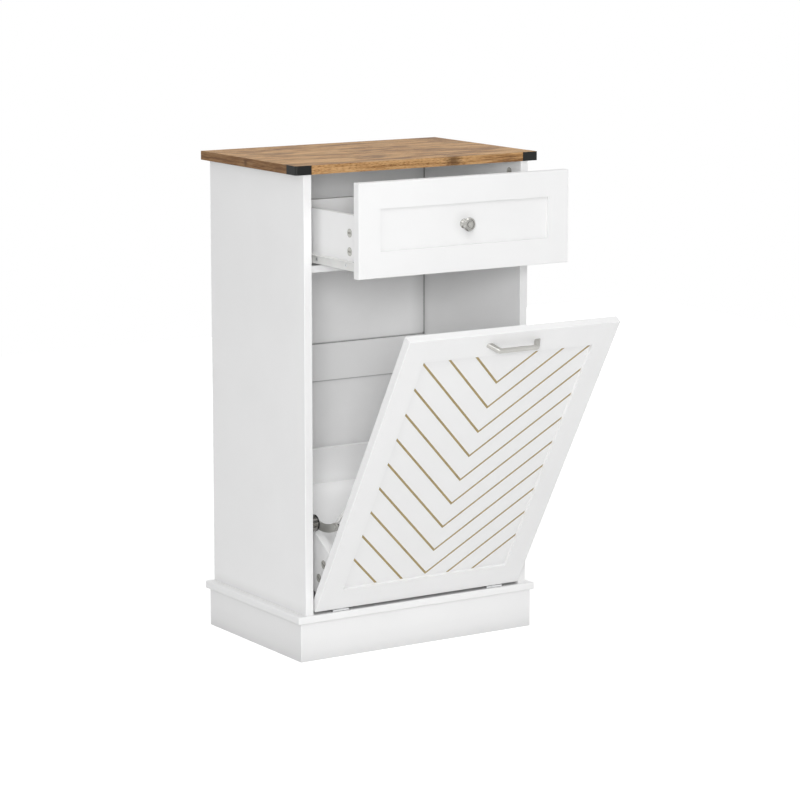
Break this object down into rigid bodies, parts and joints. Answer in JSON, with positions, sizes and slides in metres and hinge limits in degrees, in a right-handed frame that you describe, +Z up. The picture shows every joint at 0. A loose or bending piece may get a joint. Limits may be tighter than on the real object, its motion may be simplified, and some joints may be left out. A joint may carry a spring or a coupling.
{
  "type": "tilt-out trash can cabinet",
  "caption": "White board cabinet with a wood-print worktop, a drawer on roller slides and a chevron door that tilts out with a tray for a waste bin",
  "frame": {"origin": "on the floor, at mid-width, at the back face of the plinth", "axes": "+Z up, the front faces -Y, +X to the right seen from the front"},
  "size_m": [0.5076, 0.6476, 0.88],
  "materials": {
    "white_board": "satin white paint",
    "wood_top": "matt wood print",
    "white_hardboard": "white lacquered sheet",
    "black_guard": "matt black",
    "gold_line": "flat gold",
    "nickel": "brushed",
    "zinc_steel": "bright zinc",
    "cam_zinc": "dull zinc",
    "white_slide": "white epoxy",
    "white_nylon": "moulded",
    "stay_steel": "nickel plated",
    "black_ring": "moulded"
  },
  "bodies": {
    "cabinet": {"top_panel": "wood_top", "corner_guard_left": "black_guard", "corner_guard_right": "black_guard", "side_panel_left": "white_board", "side_panel_right": "white_board", "case_cams_left": "cam_zinc", "case_cams_right": "cam_zinc", "base_cap": "white_board", "plinth_front": "white_board", "plinth_left": "white_board", "plinth_right": "white_board", "plinth_back": "white_board", "back_rail": "white_board", "back_panel_upper": "white_hardboard", "back_panel_lower": "white_hardboard", "drawer_rail": "white_board", "slide_case_left": "white_slide", "slide_case_right": "white_slide", "hinge_case_left": "zinc_steel", "hinge_case_right": "zinc_steel", "hinge_pin_left": "zinc_steel", "hinge_pin_right": "zinc_steel", "stay_post_left": "stay_steel", "stay_post_right": "stay_steel", "stay_ring_left": "black_ring", "stay_ring_right": "black_ring"},
    "drawer": {"drawer_front": "white_board", "drawer_knob": "nickel", "knob_screw": "zinc_steel", "drawer_side_left": "white_board", "drawer_side_right": "white_board", "drawer_cams_left": "cam_zinc", "drawer_cams_right": "cam_zinc", "drawer_back": "white_board", "drawer_bottom": "white_hardboard", "slide_drawer_left": "white_slide", "slide_drawer_right": "white_slide"},
    "door": {"door_panel": "white_board", "chevron_inlay": "gold_line", "door_handle": "nickel", "handle_screws": "zinc_steel", "hinge_door_left": "zinc_steel", "hinge_door_right": "zinc_steel", "tray_side_left": "white_board", "tray_side_right": "white_board", "tray_cams_left": "cam_zinc", "tray_cams_right": "cam_zinc", "tray_floor": "white_board", "tray_back": "white_hardboard", "stay_bracket_left": "stay_steel", "stay_bracket_right": "stay_steel"},
    "stay_left": {"stay_arm_left": "stay_steel"},
    "case_roller_left": {"slide_case_roller_left": "white_nylon"},
    "drawer_roller_left": {"slide_drawer_roller_left": "white_nylon"},
    "stay_right": {"stay_arm_right": "stay_steel"},
    "case_roller_right": {"slide_case_roller_right": "white_nylon"},
    "drawer_roller_right": {"slide_drawer_roller_right": "white_nylon"}
  },
  "joints": [
    {"name": "drawer_slide", "type": "slide", "parent": "cabinet", "child": "drawer", "axis": [0, -1, 0], "range_m": [-0.15, 0.07]},
    {"name": "door_tilt", "type": "hinge", "parent": "cabinet", "child": "door", "pos_m": [0, -0.3268, 0.08525], "axis": [1, 0, 0], "range_deg": [-30.4, 0]},
    {"name": "stay_left_swing", "type": "hinge", "parent": "cabinet", "child": "stay_left", "pos_m": [-0.1945, -0.293, 0.241], "axis": [1, 0, 0], "range_deg": [-81.6, 0]},
    {"name": "case_roller_left_spin", "type": "hinge", "parent": "cabinet", "child": "case_roller_left", "pos_m": [-0.2135, -0.295, 0.7145], "axis": [1, 0, 0], "range_deg": [-1080, 510]},
    {"name": "drawer_roller_left_spin", "type": "hinge", "parent": "drawer", "child": "drawer_roller_left", "pos_m": [-0.2135, -0.193, 0.712], "axis": [1, 0, 0], "range_deg": [-1230, 580]},
    {"name": "stay_right_swing", "type": "hinge", "parent": "cabinet", "child": "stay_right", "pos_m": [0.1945, -0.293, 0.241], "axis": [1, 0, 0], "range_deg": [-81.6, 0]},
    {"name": "case_roller_right_spin", "type": "hinge", "parent": "cabinet", "child": "case_roller_right", "pos_m": [0.2135, -0.295, 0.7145], "axis": [1, 0, 0], "range_deg": [-1080, 510]},
    {"name": "drawer_roller_right_spin", "type": "hinge", "parent": "drawer", "child": "drawer_roller_right", "pos_m": [0.2135, -0.193, 0.712], "axis": [1, 0, 0], "range_deg": [-1230, 580]}
  ],
  "couplings": [
    {"joint": "stay_left_swing", "follows": "door_tilt", "ratio": 2.6842},
    {"joint": "case_roller_left_spin", "follows": "drawer_slide", "rad_per_m": 125},
    {"joint": "drawer_roller_left_spin", "follows": "drawer_slide", "rad_per_m": 142.86},
    {"joint": "stay_right_swing", "follows": "door_tilt", "ratio": 2.6842},
    {"joint": "case_roller_right_spin", "follows": "drawer_slide", "rad_per_m": 125},
    {"joint": "drawer_roller_right_spin", "follows": "drawer_slide", "rad_per_m": 142.86}
  ]
}
